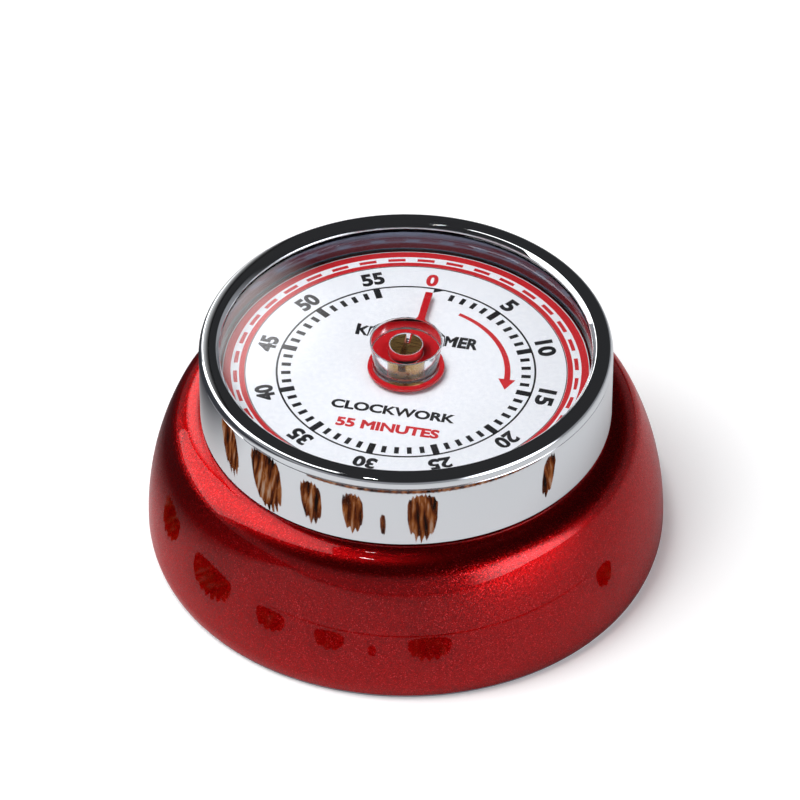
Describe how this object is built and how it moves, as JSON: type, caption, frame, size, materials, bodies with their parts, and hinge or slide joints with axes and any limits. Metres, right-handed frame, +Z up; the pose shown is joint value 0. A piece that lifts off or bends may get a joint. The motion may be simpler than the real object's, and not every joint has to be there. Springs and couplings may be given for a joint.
{
  "type": "mechanical kitchen timer",
  "caption": "Round wind-up kitchen timer: a pressed steel case with a magnetic flat base, and a chromed ring with a clear cover and pointer that turns over a minute dial.",
  "frame": {"origin": "middle of the flat base", "axes": "+Z up along the turning axis; +Y towards the zero mark on the dial"},
  "size_m": [0.07, 0.07, 0.0336],
  "materials": {
    "red_metallic_enamel": "gloss",
    "polished_chrome": "polished",
    "clear_acrylic": "polished",
    "printed_dial": "satin",
    "red_lacquer": "gloss",
    "turned_brass": "satin",
    "bright_steel": "satin",
    "zinc_plated_steel": "satin",
    "hardened_steel": "gloss",
    "ferrite": "matte"
  },
  "bodies": {
    "case": {"body_shell": "red_metallic_enamel", "base_plate": "zinc_plated_steel", "base_screws": "zinc_plated_steel", "base_standoffs": "zinc_plated_steel", "magnets": "ferrite", "magnet_keeper": "zinc_plated_steel", "keeper_rivet": "zinc_plated_steel", "bell_post": "zinc_plated_steel", "bell": "zinc_plated_steel", "bell_screw": "zinc_plated_steel", "dial": "printed_dial", "front_plate": "turned_brass", "back_plate": "turned_brass", "plate_pillars": "zinc_plated_steel", "pillar_screws": "zinc_plated_steel", "movement_screws": "zinc_plated_steel", "stop_pin": "bright_steel", "spring_barrel": "turned_brass"},
    "setting_ring": {"bezel_ring": "polished_chrome", "clear_cover": "clear_acrylic", "cover_ring": "polished_chrome", "pointer": "red_lacquer", "main_arbor": "turned_brass", "great_wheel": "turned_brass", "clutch_spring": "hardened_steel", "clutch_collar": "turned_brass", "alarm_cam": "bright_steel", "mainspring": "hardened_steel"},
    "second_train": {"second_arbor": "bright_steel", "second_wheel": "turned_brass"},
    "third_train": {"third_arbor": "bright_steel", "third_wheel": "turned_brass"},
    "escape_train": {"escape_arbor": "bright_steel", "escape_wheel": "turned_brass"},
    "balance": {"pallet_arbor": "bright_steel", "pallet_lever": "bright_steel", "pallet_pins": "bright_steel", "balance_bar": "turned_brass"},
    "strike_train": {"strike_arbor": "bright_steel", "strike_wheel": "turned_brass"},
    "hammer": {"hammer_arbor": "bright_steel", "hammer_verge": "bright_steel", "verge_pins": "bright_steel", "hammer_arm": "turned_brass", "hammer_head": "bright_steel"},
    "alarm_release": {"alarm_lever": "bright_steel", "alarm_lever_arbor": "bright_steel"}
  },
  "joints": [
    {"name": "dial_set", "type": "hinge", "parent": "case", "child": "setting_ring", "pos_m": [0, 0, 0.0269], "axis": [0, 0, -1], "range_deg": [0, 335], "deforming": ["mainspring"]},
    {"name": "second_wheel_turn", "type": "hinge", "parent": "case", "child": "second_train", "pos_m": [0.01512, 0, 0.018], "axis": [0, 0, -1], "continuous": true},
    {"name": "third_wheel_turn", "type": "hinge", "parent": "case", "child": "third_train", "pos_m": [0.01269, 0.00978, 0.018], "axis": [0, 0, -1], "continuous": true},
    {"name": "escape_wheel_turn", "type": "hinge", "parent": "case", "child": "escape_train", "pos_m": [0.00576, 0.01495, 0.018], "axis": [0, 0, -1], "continuous": true},
    {"name": "strike_wheel_turn", "type": "hinge", "parent": "case", "child": "strike_train", "pos_m": [0.00756, -0.01309, 0.018], "axis": [0, 0, -1], "continuous": true},
    {"name": "balance_swing", "type": "hinge", "parent": "case", "child": "balance", "pos_m": [-0.00105, 0.01599, 0.018], "axis": [0, 0, 1], "range_deg": [-4, 4]},
    {"name": "hammer_swing", "type": "hinge", "parent": "case", "child": "hammer", "pos_m": [0.00207, -0.01455, 0.018], "axis": [0, 0, 1], "range_deg": [-5, 5]},
    {"name": "alarm_release_tilt", "type": "hinge", "parent": "case", "child": "alarm_release", "pos_m": [-0.0137, -0.00639, 0.018], "axis": [0, 0, 1], "range_deg": [-4.5, 3]}
  ],
  "couplings": [
    {"joint": "second_wheel_turn", "follows": "dial_set", "ratio": -6},
    {"joint": "third_wheel_turn", "follows": "dial_set", "ratio": 36},
    {"joint": "escape_wheel_turn", "follows": "dial_set", "ratio": -180},
    {"joint": "strike_wheel_turn", "follows": "dial_set", "ratio": -6}
  ]
}
